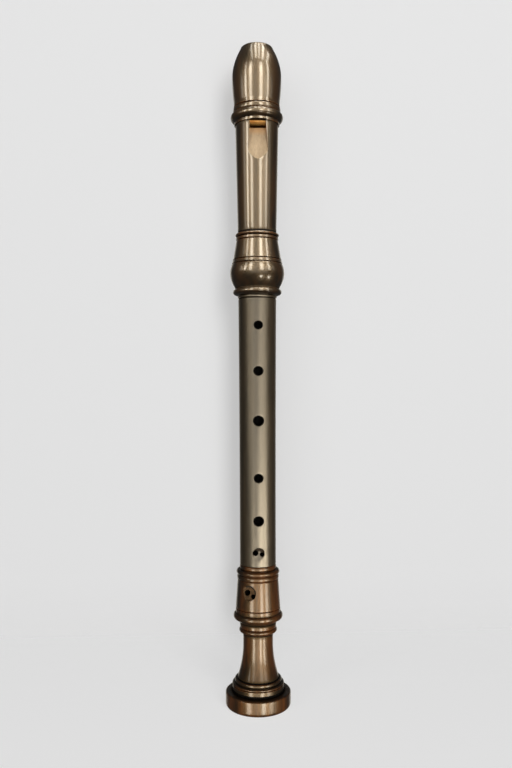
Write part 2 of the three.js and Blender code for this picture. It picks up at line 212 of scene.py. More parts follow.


# a closed turned piece, with its reliefs kept on the points; inner rows take the second material and
# the bottoms of its grooves the third, dark wax and painted shade
def turnedPiece(name, outline, soft, materials, isInner):
    kept, relief, wideRelief = softened(outline, soft)
    points = spin(kept)
    columns = points.shape[1]
    made = newObject(name, points, gridFaces(len(kept), columns, True).tolist())
    for label, values in (("relief", relief), ("wideRelief", wideRelief)):
        marks = made.data.attributes.new(label, "FLOAT", "POINT")
        marks.data.foreach_set("value", np.repeat(values, columns).astype(np.float32))
    for material in materials:
        made.data.materials.append(material)
    # faces deep in hollows and coves take the third material: dark wax and painted shade
    isDark = (relief < -turning["waxedAndShaded"]) | (wideRelief < -turning["coved"])
    kind = np.where(isInner(*kept.T), 1, np.where(isDark, 2, 0))
    made.data.polygons.foreach_set("material_index", np.repeat(kind, columns).astype(np.int32))
    return made


# rings of points joined into a tube, with a flat cap on each end
def ringStack(name, rings, material):
    count, columns = rings.shape[:2]
    faces = gridFaces(count, columns, False).tolist()
    faces.append(list(range(columns))[::-1])
    faces.append(list(range((count - 1) * columns, count * columns)))
    made = newObject(name, rings, faces)
    made.data.materials.append(material)
    return made


# a flat outline of (height, front) points carried sideways along X from -width / 2 to width / 2
def sidewaysPrism(name, outline, width, material):
    height, front = np.array(outline, float).T
    sides = np.array([-width / 2, width / 2])
    rings = np.stack([
        np.outer(sides, np.ones_like(height)),
        -np.outer(np.ones_like(sides), front),
        np.outer(np.ones_like(sides), height),
    ], axis=-1)
    return faceOutwards(ringStack(name, rings, material))


def faceOutwards(made):
    shape = bmesh.new()
    shape.from_mesh(made.data)
    bmesh.ops.recalc_face_normals(shape, faces=shape.faces)
    shape.to_mesh(made.data)
    shape.free()
    return made


def combine(piece, cutters, operation="DIFFERENCE"):
    for cutter in cutters:
        cut = piece.modifiers.new(cutter.name, "BOOLEAN")
        cut.operation = operation
        cut.solver = "MANIFOLD"
        cut.object = cutter
        cut.material_mode = "TRANSFER"
    bpy.context.view_layer.update()
    graph = bpy.context.evaluated_depsgraph_get()
    whole = bpy.data.meshes.new_from_object(piece.evaluated_get(graph), depsgraph=graph)
    piece.modifiers.clear()
    piece.data = whole
    for cutter in cutters:
        bpy.data.objects.remove(cutter)
    return piece


def finishPiece(piece, node, body):
    piece.data.shade_smooth()
    piece.data.set_sharp_from_angle(angle=math.radians(turning["smoothUpTo"]))
    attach(piece, body)
    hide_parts(node)
    print(piece.name, "made with", len(piece.data.polygons), "faces")


# cutters

cutting = {
    "holeSides": 64,
    "rimSteps": 8,
    "rimLean": 74,          # degrees of the quarter circle that a rounded rim follows
    "above": 1.2,           # how far above the wood a hole's cutter still follows the wall
    "outerEnd": 2.4,        # and how far above it the cutter ends
    "inFront": 1.0,         # of the axis, where a hole's cutter begins
    "widest": 0.98,         # of the wall's radius, as far out as a hole's cutter follows the wall
    "recessSides": 96,
    "filletSteps": 7,
    "recessReach": 10.0,    # from a recess's floor to the cutter's outer end
    "beakSides": 360,
    "looksAlong": 0.7,      # a face looks along a direction when the cosine between them is above this
}


# a pair of coordinates turned by an angle in their plane
def swung(a, b, angle):
    return a * math.cos(angle) - b * math.sin(angle), a * math.sin(angle) + b * math.cos(angle)


# turns points that were laid out for the front (-Y) round Z, and lifts them
def placeRound(points, degrees, height):
    x, y, z = np.moveaxis(points, -1, 0)
    return np.stack([*swung(x, y, math.radians(degrees)), z + height], axis=-1)


# a finger hole's cutter: circles of radius s round the hole's own axis, each point set a depth below the
# turned surface of radius R, y = depth - sqrt(R^2 - x^2); near the surface s and depth follow a quarter
# circle outwards, which leaves a rounded rim
def holeCutter(hole, wallRadius, material):
    rim, above = hole.get("rim", 0), cutting["above"]
    around = circle(cutting["holeSides"])
    lean = np.radians(np.linspace(0, cutting["rimLean"], cutting["rimSteps"])) if rim else np.zeros(1)
    spread = hole["diameter"] / 2 + rim * (1 - np.cos(lean))
    depth = rim * (1 - np.sin(lean))
    spread = np.append(spread, spread[-1] + (above + depth[-1]) * math.tan(lean[-1]))
    depth = np.append(depth, -above)
    x = np.outer(spread, np.cos(around))
    z = np.outer(spread, np.sin(around))
    y = depth[:, None] - np.sqrt(wallRadius ** 2 - np.minimum(np.abs(x), cutting["widest"] * wallRadius) ** 2)
    inside = np.stack([x[0], np.full_like(x[0], -cutting["inFront"]), z[0]], axis=-1)
    outside = np.stack([x[-1], np.full_like(x[0], -wallRadius - cutting["outerEnd"]), z[-1]], axis=-1)
    rings = np.concatenate([inside[None], np.stack([x, y, z], axis=-1), outside[None]])
    return faceOutwards(ringStack("hole", placeRound(rings, hole["angle"], hole["height"]), material))


# a flat-ended round cutter, tilted: circles along its axis, the last ones following a quarter circle into
# the floor; the step on its deep side has a material of its own, painted dark as shade
def recessCutter(values, wallRadius, floor, wall):
    around = circle(cutting["recessSides"])
    corner = np.linspace(0, math.pi / 2, cutting["filletSteps"])
    radius, fillet = values["width"] / 2, values["fillet"]
    spread = np.append(radius, radius - fillet * (1 - np.cos(corner)))
    deep = np.append(-cutting["recessReach"], fillet * (np.sin(corner) - 1))
    x = np.outer(spread, np.cos(around))
    y = np.repeat(deep[:, None], len(around), axis=1)
    z = np.outer(spread, np.sin(around))
    y, z = swung(y, z, math.radians(-values["tilt"]))
    x, z = swung(x, z, math.radians(-values["turn"]))
    points = np.stack([x, y + values["depth"] - wallRadius, z], axis=-1)
    rings = placeRound(points, values["angle"], values["height"])
    recess = faceOutwards(ringStack("recess", rings, floor))
    recess.data.materials.append(wall)
    isStep = np.tile(np.sin(around + math.pi / len(around)) > values["step"], len(rings) - 1)
    caps = [False, False]
    recess.data.polygons.foreach_set("material_index", np.append(isStep, caps).astype(np.int32))
    return recess


# shader nodes

def newGroup(name, inputs, outputs):
    group = bpy.data.node_groups.new(name, "ShaderNodeTree")
    for label, kind in inputs:
        group.interface.new_socket(name=label, in_out="INPUT", socket_type="NodeSocket" + kind)
    for label, kind in outputs:
        group.interface.new_socket(name=label, in_out="OUTPUT", socket_type="NodeSocket" + kind)
    return group, group.nodes.new("NodeGroupInput").outputs, group.nodes.new("NodeGroupOutput").inputs


# links or sets one input
def feed(tree, socket, value):
    if isinstance(value, bpy.types.NodeSocket):
        tree.links.new(value, socket)
    else:
        socket.default_value = value


# a node with its settings; inputs are given by name, or by number after an underscore
def addNode(tree, kind, settings=None, **given):
    node = tree.nodes.new("ShaderNode" + kind)
    for key, value in (settings or {}).items():
        setattr(node, key, value)
    for key, value in given.items():
        feed(tree, node.inputs[int(key[1:]) if key[1:].isdigit() else key], value)
    return node


def groupNode(tree, group, **given):
    return addNode(tree, "Group", {"node_tree": group}, **given).outputs


def mixColour(tree, factor, a, b):
    settings = {"data_type": "RGBA", "clamp_factor": True}
    return addNode(tree, "Mix", settings, _0=factor, _6=a, _7=b).outputs[2]


def ranged(tree, value, low, high, toLow=0.0, toHigh=1.0):
    settings = {"clamp": True}
    return addNode(tree, "MapRange", settings, _0=value, _1=low, _2=high, _3=toLow, _4=toHigh).outputs[0]


def calculate(tree, operation, *values, clamp=False):
    given = {f"_{k}": value for k, value in enumerate(values)}
    return addNode(tree, "Math", {"operation": operation, "use_clamp": clamp}, **given).outputs[0]


# noise that is drawn out along the bore
def drawnNoise(tree, place, across, along, detail, rough):
    drawn = addNode(tree, "VectorMath", {"operation": "MULTIPLY"}, _0=place, _1=(across, across, along))
    noise = addNode(tree, "TexNoise", None, Vector=drawn.outputs[0], Scale=1.0, Detail=detail,
                    Roughness=rough)
    return noise.outputs[0]


# shader node groups

woodFigure = {
    # patterns: repeats in a metre across and along the bore, then the detail and roughness of the noise
    "fibre": (1500, 42, 5.0, 0.62),
    "figure": (210, 11, 3.0, 0.5),
    "pore": (2600, 190, 2.0, 0.5),
    "cloud": (120, 26, 4.0, 0.6),
    "fibreShare": 0.45,         # of the fibre in the grain
    "grainRange": (0.56, 0.90),
    "poreRange": (0.57, 0.66),
    "cloudRange": (0.44, 0.6),
}


# long fibres, a slow figure, short dark pores and broad patches of patina, all drawn out along the bore
def makeWoodGroup(values):
    group, given, out = newGroup(
        "turnedWoodFigure",
        [("Vector", "Vector"), ("Dark", "Color"), ("Light", "Color"), ("Pore", "Color"), ("Pores", "Float"),
         ("Patina", "Color"), ("Patches", "Float")],
        [("Color", "Color"), ("Height", "Float"), ("Fibre", "Float")],
    )
    fibre, figure, pore, cloud = [
        drawnNoise(group, given["Vector"], *values[name]) for name in ("fibre", "figure", "pore", "cloud")
    ]
    both = calculate(group, "MULTIPLY_ADD", fibre, values["fibreShare"], figure)
    plain = mixColour(group, ranged(group, both, *values["grainRange"]), given["Dark"], given["Light"])
    patch = calculate(group, "MULTIPLY", ranged(group, cloud, *values["cloudRange"]), given["Patches"])
    aged = mixColour(group, patch, plain, given["Patina"])
    poreShare = calculate(group, "MULTIPLY", ranged(group, pore, *values["poreRange"]), given["Pores"])
    group.links.new(mixColour(group, poreShare, aged, given["Pore"]), out["Color"])
    group.links.new(calculate(group, "MULTIPLY_ADD", poreShare, -1.0, fibre), out["Height"])
    group.links.new(fibre, out["Fibre"])
    return group


rubSheenWaxShadeRanges = {
    "raggedness": 0.3,          # how much the fibre breaks up a rubbed crest
    "crest": (0.24, 0.44),      # millimetres of relief, with the fibre's share
    "hollow": (-0.03, -0.14),
    "cove": (-0.06, -0.26),
    "coveShare": 0.97,          # of wax and painted shade in the deepest coves
}


# colour rubbed bright on the crests of the outline, partly a painted highlight, and filled with dark wax and
# painted shade in its hollows
def makeRubSheenWaxShadeGroup(values):
    group, given, out = newGroup(
        "rubbedArrises",
        [("Color", "Color"), ("Relief", "Float"), ("Wide Relief", "Float"), ("Fibre", "Float"),
         ("Rubbed", "Color"), ("Wax", "Color"), ("Amount", "Float")],
        [("Color", "Color"), ("Hollow", "Float")],
    )
    # crests lighten toward the rubbed colour: real wear, partly a painted highlight
    ragged = calculate(group, "MULTIPLY_ADD", given["Fibre"], values["raggedness"], given["Relief"])
    share = calculate(group, "MULTIPLY", ranged(group, ragged, *values["crest"]), given["Amount"])
    rubbed = mixColour(group, share, given["Color"], given["Rubbed"])
    # painted shade: hollows and coves darken toward the wax colour, partly real wax
    cove = ranged(group, given["Wide Relief"], *values["cove"], 0.0, values["coveShare"])
    hollow = calculate(group, "MAXIMUM", ranged(group, given["Relief"], *values["hollow"]), cove)
    group.links.new(mixColour(group, hollow, rubbed, given["Wax"]), out["Color"])
    group.links.new(hollow, out["Hollow"])
    return group


woodGroup = makeWoodGroup(woodFigure)
rubSheenWaxShadeGroup = makeRubSheenWaxShadeGroup(rubSheenWaxShadeRanges)


# materials

woodSurface = {
    "fibreRange": (0.3, 0.7),   # of the fibre, from the smoother to the rougher end of a finish
    "hollowRough": 0.6,
    "bumpDepth": 0.4,
    "sideReach": 10,            # the darker patches' share changes from this far right of the axis to as far left
    "bandBegins": 2,            # height over which a dark band begins, and over which it ends
    "bandEnds": 12,
    "barePatches": 0.3,
}


# a material with its tree, its shader and the place on the piece that its patterns follow
def newMaterial(name):
    material = bpy.data.materials.new(name)
    material.use_nodes = True
    tree = material.node_tree
    shader = next(node for node in tree.nodes if node.type == "BSDF_PRINCIPLED")
    return material, tree, shader, tree.nodes.new("ShaderNodeTexCoord").outputs["Object"]


def figuredWood(tree, place, values, patina, patches):
    return groupNode(tree, woodGroup, Vector=place, Dark=values["dark"], Light=values["light"],
                     Pore=values["pore"], Pores=values["pores"], Patina=patina, Patches=patches)


def addBump(tree, shader, strength, depth, height):
    bump = addNode(tree, "Bump", None, Strength=strength, Distance=depth * mm, Height=height)
    feed(tree, shader.inputs["Normal"], bump.outputs[0])


# polished or satin turned wood; its darker patches may cover more of it from the right side to the left
def turnedWood(name, values):
    material, tree, shader, place = newMaterial(name)
    side, _, height = addNode(tree, "SeparateXYZ", None, _0=place).outputs
    reach = woodSurface["sideReach"] * mm
    patches = ranged(tree, side, reach, -reach, *values["patches"])
    wood = figuredWood(tree, place, values, values["patina"], patches)
    base = wood["Color"]
    if "darkBand" in values:
        low, high = values["darkBand"]
        over = ranged(tree, height, (low - woodSurface["bandBegins"]) * mm, low * mm)
        under = ranged(tree, height, (high + woodSurface["bandEnds"]) * mm, high * mm)
        base = mixColour(tree, calculate(tree, "MULTIPLY", over, under), base, values["patina"])
    marks = {
        label: addNode(tree, "Attribute", {"attribute_name": key}).outputs["Fac"]
        for label, key in (("Relief", "relief"), ("Wide Relief", "wideRelief"))
    }
    # crests rubbed lighter, partly a painted highlight; hollows and coves darkened with wax and painted shade
    rubSheenWaxShade = groupNode(tree, rubSheenWaxShadeGroup, Color=base, **marks, Fibre=wood["Fibre"], Rubbed=values["rubbed"],
                     Wax=values["wax"], Amount=values["rub"])
    polish = ranged(tree, wood["Fibre"], *woodSurface["fibreRange"], *values["rough"])
    rough = addNode(tree, "Mix", {"data_type": "FLOAT"}, _0=rubSheenWaxShade["Hollow"], _2=polish,
                    _3=woodSurface["hollowRough"])
    feed(tree, shader.inputs["Base Color"], rubSheenWaxShade["Color"])
    feed(tree, shader.inputs["Roughness"], rough.outputs[0])
    addBump(tree, shader, values["bump"], woodSurface["bumpDepth"], wood["Height"])
    shader.inputs["IOR"].default_value = values["ior"]
    shader.inputs["Specular Tint"].default_value = values["sheenTint"]
    if "coat" in values:    # the polish doesn't reach the hollows
        polished = calculate(tree, "SUBTRACT", values["coat"], rubSheenWaxShade["Hollow"], clamp=True)
        feed(tree, shader.inputs["Coat Weight"], polished)
        shader.inputs["Coat Roughness"].default_value = values["coatRough"]
    return material


# bare cut wood: the same figure, matt
def bareWood(name, values):
    material, tree, shader, place = newMaterial(name)
    wood = figuredWood(tree, place, values, values["dark"], woodSurface["barePatches"])
    base = wood["Color"]
    if "warm" in values:    # redder from one height to another
        height = addNode(tree, "SeparateXYZ", None, _0=place).outputs[2]
        low, high = values["warmHeights"]
        base = mixColour(tree, ranged(tree, height, low * mm, high * mm), base, values["warm"])
    rough = ranged(tree, wood["Fibre"], *woodSurface["fibreRange"], *values["rough"])
    feed(tree, shader.inputs["Base Color"], base)
    feed(tree, shader.inputs["Roughness"], rough)
    addBump(tree, shader, values["bump"], woodSurface["bumpDepth"], wood["Height"])
    shader.inputs["Specular IOR Level"].default_value = values["gloss"]
    return material


# a screen colour, 0 to 255, as the linear values that shaders take, by the usual screen curve
def colour(red, green, blue):
    screen = np.array([red, green, blue]) / 255
    linear = np.where(screen <= 0.04045, screen / 12.92, ((screen + 0.055) / 1.055) ** 2.4)
    return (*linear.tolist(), 1.0)


finishes = {
    "headWood": {
        "dark": colour(17, 13, 9), "light": colour(32, 24, 15), "pore": colour(13, 10, 7), "pores": 0.4,
        "patina": colour(54, 34, 17), "patches": (0.5, 0.5),
        "rubbed": colour(136, 84, 42), "wax": colour(7, 5, 4), "rub": 0.85,
        "rough": (0.29, 0.35), "bump": 0.09, "ior": 1.75, "sheenTint": colour(255, 224, 182),
        "coat": 1.0, "coatRough": 0.15,
    },
    "middleWood": {         # satin, with no coat of polish
        "dark": colour(26, 22, 15), "light": colour(46, 38, 27), "pore": colour(16, 13, 9), "pores": 0.6,
        "patina": colour(54, 42, 27), "patches": (0.4, 0.4),
        "rubbed": colour(84, 68, 46), "wax": colour(6, 5, 4), "rub": 0.3,
        "rough": (0.29, 0.38), "bump": 0.16, "ior": 2.25, "sheenTint": colour(255, 241, 218),
    },
    "footWood": {           # darker on the left, and in a band above the base
        "dark": colour(44, 25, 12), "light": colour(96, 55, 24), "pore": colour(22, 13, 7), "pores": 0.5,
        "patina": colour(22, 17, 11), "patches": (0.2, 1.0), "darkBand": (12.5, 19),
        "rubbed": colour(158, 92, 44), "wax": colour(7, 5, 4), "rub": 0.7,
        "rough": (0.34, 0.40), "bump": 0.11, "ior": 1.8, "sheenTint": colour(255, 210, 150),
        "coat": 1.0, "coatRough": 0.18,
    },
    "boreWood": {
        "dark": colour(30, 22, 14), "light": colour(52, 39, 26), "pore": colour(18, 13, 8), "pores": 0.6,
        "rough": (0.45, 0.6), "bump": 0.2, "gloss": 0.4,
    },
    "holeWood": {           # the finger holes' walls, painted dark as the shade inside the holes
        "dark": colour(12, 9, 6), "light": colour(24, 18, 12), "pore": colour(8, 6, 4), "pores": 0.5,
        "rough": (0.5, 0.6), "bump": 0.2, "gloss": 0.15,
    },
    "groove": {             # old wax and dust in the cut lines and coves, dark as painted shade
        "dark": colour(8, 6, 4), "light": colour(20, 14, 9), "pore": colour(5, 4, 3), "pores": 0.5,
        "rough": (0.6, 0.75), "bump": 0.3, "gloss": 0.1,
    },
    "rampWood": {           # the bare ramp below the window, redder near its edge
        "dark": colour(114, 95, 71), "light": colour(142, 124, 101), "pore": colour(90, 70, 46),
        "pores": 0.35, "rough": (0.5, 0.62), "bump": 0.25, "gloss": 0.5,
        "warm": colour(146, 110, 70), "warmHeights": (blockBottom - 10.9, blockBottom - 5.4),
    },
    "windowWood": {         # the sides of the window and of the ramp
        "dark": colour(120, 70, 28), "light": colour(170, 110, 52), "pore": colour(84, 48, 18), "pores": 0.4,
        "rough": (0.5, 0.62), "bump": 0.2, "gloss": 0.4,
    },
    "wornWood": {           # the floor of the foot's recess
        "dark": colour(62, 44, 26), "light": colour(108, 80, 50), "pore": colour(34, 24, 14), "pores": 0.6,
        "rough": (0.5, 0.62), "bump": 0.25, "gloss": 0.2,
    },
    "darkWood": {           # the steps of the recesses, painted dark as the shade under their deep side
        "dark": colour(26, 19, 12), "light": colour(48, 36, 23), "pore": colour(16, 11, 7), "pores": 0.6,
        "rough": (0.5, 0.62), "bump": 0.2, "gloss": 0.2,
    },
    "cedar": {
        "dark": colour(206, 138, 66), "light": colour(246, 190, 112), "pore": colour(160, 98, 42),
        "pores": 0.4, "rough": (0.55, 0.7), "bump": 0.3, "gloss": 0.4,
    },
}

woods = {}
for name, values in finishes.items():
    woods[name] = turnedWood(name, values) if "rubbed" in values else bareWood(name, values)


# what a turned piece is made of: its outside, its bore and the bottoms of its grooves, dark wax and painted
# shade
def turnedMaterials(outside):
    return [woods[outside], woods["boreWood"], woods["groove"]]


corkValues = {
    "grain": 900,           # crumbs in a metre
    "fleckGrain": 1440,
    "fleckDetail": 3.0,
    "crumbRange": (0.05, 0.6),
    "fleckRange": (0.6, 0.7),
    "dark": colour(122, 84, 46),
    "light": colour(206, 164, 108),
    "rough": 0.9,
    "bump": 0.4,
    "bumpDepth": 0.3,
}


def makeCork(values):
    material, tree, shader, place = newMaterial("cork")
    crumbs = addNode(tree, "TexVoronoi", None, Vector=place, Scale=values["grain"]).outputs["Color"]
    fleck = addNode(tree, "TexNoise", None, Vector=place, Scale=values["fleckGrain"],
                    Detail=values["fleckDetail"]).outputs[0]
    tone = addNode(tree, "SeparateColor", None, _0=crumbs).outputs[0]
    base = mixColour(tree, ranged(tree, tone, *values["crumbRange"]), values["dark"], values["light"])
    flecked = mixColour(tree, ranged(tree, fleck, *values["fleckRange"]), base, values["dark"])
    feed(tree, shader.inputs["Base Color"], flecked)
    addBump(tree, shader, values["bump"], values["bumpDepth"], tone)
    shader.inputs["Roughness"].default_value = values["rough"]
    return material


cork = makeCork(corkValues)
print("materials made")


# foot

footValues = {
    "soft": 0.11,           # how far an arris is rounded
    "boreLower": 6.3,
    "boreUpper": 6.9,
    "socketRadius": 10.58,
    "socketDepth": 14.5,
    "innerRadius": 10.26,   # what is nearer to the axis has the bore's wood
    "socketMargin": 0.05,   # and so has the socket, as far as this past its radius
    "turns": [
        ("step", 20.95), ("out", 2.8, 23.75), ("rise", 7.3), ("in", 1.2, 22.55), ("step", 18.8),
        ("rise", 4.5), ("bead", 17.6, 2.0, 1.25), ("bead", 16.4, 2.7, 0.7),
        ("step", 15.3), ("curve", 25.0, 10.9, 10.9), ("rise", 8.0), ("bead", 11.2, 4.2, 2.6),
        ("step", 13.2), ("rise", 1.9), ("curve", 4.0, 16.3, 13.2), ("bead", 16.3, 4.7, 1.65),
        ("step", 16.45), ("rise", 3.0, 16.26), ("line",), ("rise", 20.35, 14.9),
        ("bead", 14.2, 3.8, 1.0), ("bead", 14.0, 3.6, 1.65), ("bead", 12.75, 3.2, 0.6),
    ],
    "holes": [              # heights from the foot's top, degrees round the axis
        {"diameter": 4.1, "height": -17.9, "angle": -34.6},
        {"diameter": 3.3, "height": -20.3, "angle": -16.6},
    ],
    # step: how far up its round the step painted dark as shade begins, as a sine
    "recess": {"width": 11.2, "depth": 1.5, "tilt": 16, "turn": 40, "fillet": 1.4, "step": 0.35,
               "angle": -30.1, "height": -18.3},
    "wall": 15.68,          # the turned radius at the holes
}


def makeFoot(values):
    socketRadius, socketFloor = values["socketRadius"], footTop - values["socketDepth"]
    outside = cutOutline((values["boreLower"], footBottom), values["turns"])
    inside = [(socketRadius, footTop), (socketRadius, socketFloor), (values["boreUpper"], socketFloor)]

    def inner(radius, height):
        inSocket = (radius < socketRadius + values["socketMargin"]) & (height > socketFloor)
        return (radius < values["innerRadius"]) | inSocket

    outline = np.vstack([outside, inside])
    foot = turnedPiece("foot", outline, values["soft"], turnedMaterials("footWood"), inner)
    recess = {**values["recess"], "height": footTop + values["recess"]["height"]}
    cutters = [recessCutter(recess, values["wall"], woods["wornWood"], woods["darkWood"])]
    for hole in values["holes"]:
        placed = {**hole, "height": footTop + hole["height"]}
        cutters.append(holeCutter(placed, values["wall"], woods["holeWood"]))
    finishPiece(combine(foot, cutters), "foot_joint", "foot")


makeFoot(footValues)


# middle

middleValues = {
    "soft": 0.11,
    "lowerTenon": {"length": 14.0, "radius": 10.28, "cork": 8.4},
    "upperTenon": {"length": 26.0, "radius": 12.1, "cork": 16.0},
    "grooveDepth": 0.9,     # the cork's groove, below the bare tenon
    "corkGap": 0.15,
    "lowerRadius": 13.08,
    "upperRadius": 13.8,
    "rimHeight": 1.6,
    "rimSwell": 0.4,
    "boreLower": 6.9,
    "boreUpper": 8.9,
    "innerRadius": 9.05,    # what is nearer to the axis has the bore's wood
    "holes": [              # up from the lower shoulder or down from the upper one
        {"diameter": 6.8, "up": 32.9, "angle": 0}, {"diameter": 6.1, "up": 63.6, "angle": 0},
        {"diameter": 7.1, "down": 90.5, "angle": 0}, {"diameter": 6.3, "down": 54.8, "angle": 0},
        {"diameter": 5.7, "down": 22.0, "angle": 0}, {"diameter": 5.6, "down": 11.7, "angle": 180},
    ],
    "rim": 0.45,            # how far the holes' rims are rounded
    "pair": [{"diameter": 4.1, "up": 10.1, "angle": -11.5}, {"diameter": 3.3, "up": 9.0, "angle": 11.5}],
    "recess": {"width": 10.2, "depth": 1.0, "tilt": 18, "turn": 0, "fillet": 2.2, "step": 0.35,
               "angle": 0, "up": 8.3},
}


# a tenon from its shoulder to its end, with the cork's groove halfway; way is 1 upwards and -1 downwards
def tenonOutline(tenon, shoulder, way, values):
    bare = (tenon["length"] - tenon["cork"]) / 2 - values["corkGap"]
    outer, sunk = tenon["radius"], tenon["radius"] - values["grooveDepth"]
    along = np.array([0, bare, bare, tenon["length"] - bare, tenon["length"] - bare, tenon["length"]])
    return np.column_stack([[outer, outer, sunk, sunk, outer, outer], shoulder + way * along])


def makeMiddle(values):
    lower = middleBottom + values["lowerTenon"]["length"]
    upper = middleTop - values["upperTenon"]["length"]
    body = cutOutline((values["lowerRadius"], lower), [
        ("curve", upper - lower - values["rimHeight"] - turning["lineWidth"], values["upperRadius"],
         values["lowerRadius"]),
        ("line",),
        ("bead", values["upperRadius"], values["rimHeight"], values["rimSwell"]),
    ])
    outline = np.vstack([
        [(values["boreLower"], middleBottom)],
        tenonOutline(values["lowerTenon"], lower, -1, values)[::-1],
        body,
        tenonOutline(values["upperTenon"], upper, 1, values),
        [(values["boreUpper"], middleTop)],
    ])
    middle = turnedPiece("middle", outline, values["soft"], turnedMaterials("middleWood"),
                         lambda radius, height: radius < values["innerRadius"])

    def placed(cut):
        return {**cut, "height": lower + cut["up"] if "up" in cut else upper - cut["down"]}

    def wallAt(height):     # the body's parabola
        share = (height - lower) / (upper - lower)
        return values["lowerRadius"] + (values["upperRadius"] - values["lowerRadius"]) * share ** 2

    recess = placed(values["recess"])
    cutters = [recessCutter(recess, values["lowerRadius"], woods["middleWood"], woods["darkWood"])]
    for hole in map(placed, values["holes"]):
        cutters.append(holeCutter({**hole, "rim": values["rim"]}, wallAt(hole["height"]), woods["holeWood"]))
    for hole in map(placed, values["pair"]):
        cutters.append(holeCutter(hole, values["lowerRadius"], woods["holeWood"]))
    finishPiece(combine(middle, cutters), "middle_joint", "middle")


makeMiddle(middleValues)


# head

headValues = {
    "soft": 0.11,
    "socketRadius": 12.4,
    "socketDepth": 26.5,
    "bore": 9.0,
    "turns": [
        ("step", 14.0), ("out", 2.4, 17.75), ("in", 2.5, 15.6), ("step", 16.2), ("rise", 0.8),
        ("curve", 10.5, 19.75, 19.75), ("curve", 6.55, 18.5, 19.75), ("line",),
        ("step", 18.35), ("rise", 2.05, 17.85), ("line",),
        ("step", 17.5), ("curve", 13.5, 15.3, 16.3), ("line",), ("step", 15.4), ("rise", 1.6), ("line",),
        ("bead", 14.5, 2.2, 1.45), ("curve", 1.2, 14.12, 14.12), ("rise", 77.8, 15.75),
        ("step", 16.5), ("rise", 2.1), ("bead", 16.0, 6.7, 3.15), ("bead", 16.9, 3.5, 0.45), ("line",),
        ("step", 16.95), ("curve", 3.05, 16.72, 16.72), ("curve", 18.7, 17.9, 17.9),
        ("curve", 20.6, 11.9, 17.9), ("in", 1.4, 10.6),
    ],
    # how far the bore's wood reaches past the walls, and how far it stays from the ends
    "innerMargins": {"bore": 0.1, "socket": 0.05, "floor": 0.1, "top": 0.5, "bottom": 0.3},
    "windwayWidth": 12.0,
    "windwayRoof": 9.5,
    "roofChamfer": 1.6,     # on the windway's roof, at the window
    "cutUp": 4.9,           # from the windway's end to the edge
    "edgeThickness": 0.4,
    "edgeUnderside": 9.05,
    "edgeUndercut": 6.0,
    "rampAngle": 13.6,
    "rampFlare": 4.2,
    "rampHeight": 15.75,    # of the turned surface that the ramp runs out through
    "rampCover": 1.0,       # height of the ramp's cutter at its far end
    "overlap": 0.01,        # of the windway's cutter with the window's
    "past": 10.0,           # how far a cutter reaches beyond the wood
    "beakCut": {"length": 39.0, "tipDepth": 3.0, "hollow": 4.0, "radius": 17.9},
}


# a large cylinder across the beak: circles about an X axis whose centre lies behind the chord of the cut
def beakCutter(values, material):
    cut = values["beakCut"]
    high = np.array([cut["tipDepth"], headTop])
    low = np.array([cut["radius"], headTop - cut["length"]])
    chord = np.linalg.norm(high - low)
    radius = chord ** 2 / (8 * cut["hollow"]) + cut["hollow"] / 2      # of an arc with this chord and height
    along = (high - low) / chord
    centre = (high + low) / 2 + np.array([along[1], -along[0]]) * (radius - cut["hollow"])
    around = circle(cutting["beakSides"])
    sides = np.array([-1, 1]) * (cut["radius"] + values["past"])
    ones = np.ones_like(sides)
    rings = np.stack([
        np.outer(sides, np.ones_like(around)),
        np.outer(ones, centre[0] + radius * np.cos(around)),
        np.outer(ones, centre[1] + radius * np.sin(around)),
    ], axis=-1)
    return faceOutwards(ringStack("beakCut", rings, material))


# gives a second material to the faces that look along one of the given directions
def paintFaces(made, material, *directions):
    made.data.materials.append(material)
    normals = np.array([face.normal for face in made.data.polygons])
    isChosen = np.any(normals @ np.array(directions, float).T > cutting["looksAlong"], axis=1)
    made.data.polygons.foreach_set("material_index", isChosen.astype(np.int32))
    return made


# the windway above the window, with its roof opened out by a chamfer; its faces take the bore's dark wood as
# painted shade in the slit
def windwayCutter(values):
    roof, opening = values["windwayRoof"], values["roofChamfer"]
    start, beyond = blockBottom - values["overlap"], headTop + values["past"]
    return sidewaysPrism("windway", [
        (start, 0), (beyond, 0), (beyond, roof), (blockBottom + opening, roof),
        (start, roof + opening + values["overlap"]),
    ], values["windwayWidth"], woods["boreWood"])


# the open window and the flat under the edge; its upper side takes the bore's dark wood as painted shade
def windowCutter(values):
    edge = blockBottom - values["cutUp"]
    outside = values["rampHeight"] + values["past"]
    under = edge - values["edgeUndercut"]
    window = sidewaysPrism("window", [
        (under, 0), (blockBottom, 0), (blockBottom, outside), (edge, outside),
        (edge, values["edgeUnderside"]), (under, values["edgeUnderside"]),
    ], values["windwayWidth"], woods["windowWood"])
    return paintFaces(window, woods["boreWood"], (0, 0, 1))


# a wedge above the sloping plane: four corners at the edge and four at its far end, wider and higher
def rampCutter(values):
    edge = blockBottom - values["cutUp"]
    start = values["edgeUnderside"] + values["edgeThickness"]
    run = values["rampHeight"] / math.tan(math.radians(values["rampAngle"]))
    narrow = values["windwayWidth"] / 2
    wide = narrow + run * math.tan(math.radians(values["rampFlare"]))
    low, top = edge - run, start + values["rampHeight"]
    over = top + values["rampCover"]
    rings = np.array([
        [(-narrow, -start, edge), (narrow, -start, edge), (narrow, -top, edge), (-narrow, -top, edge)],
        [(-wide, -top, low), (wide, -top, low), (wide, -over, low), (-wide, -over, low)],
    ], float)
    ramp = faceOutwards(ringStack("ramp", rings, woods["rampWood"]))
    return paintFaces(ramp, woods["windowWood"], (-1, 0, 0), (1, 0, 0))


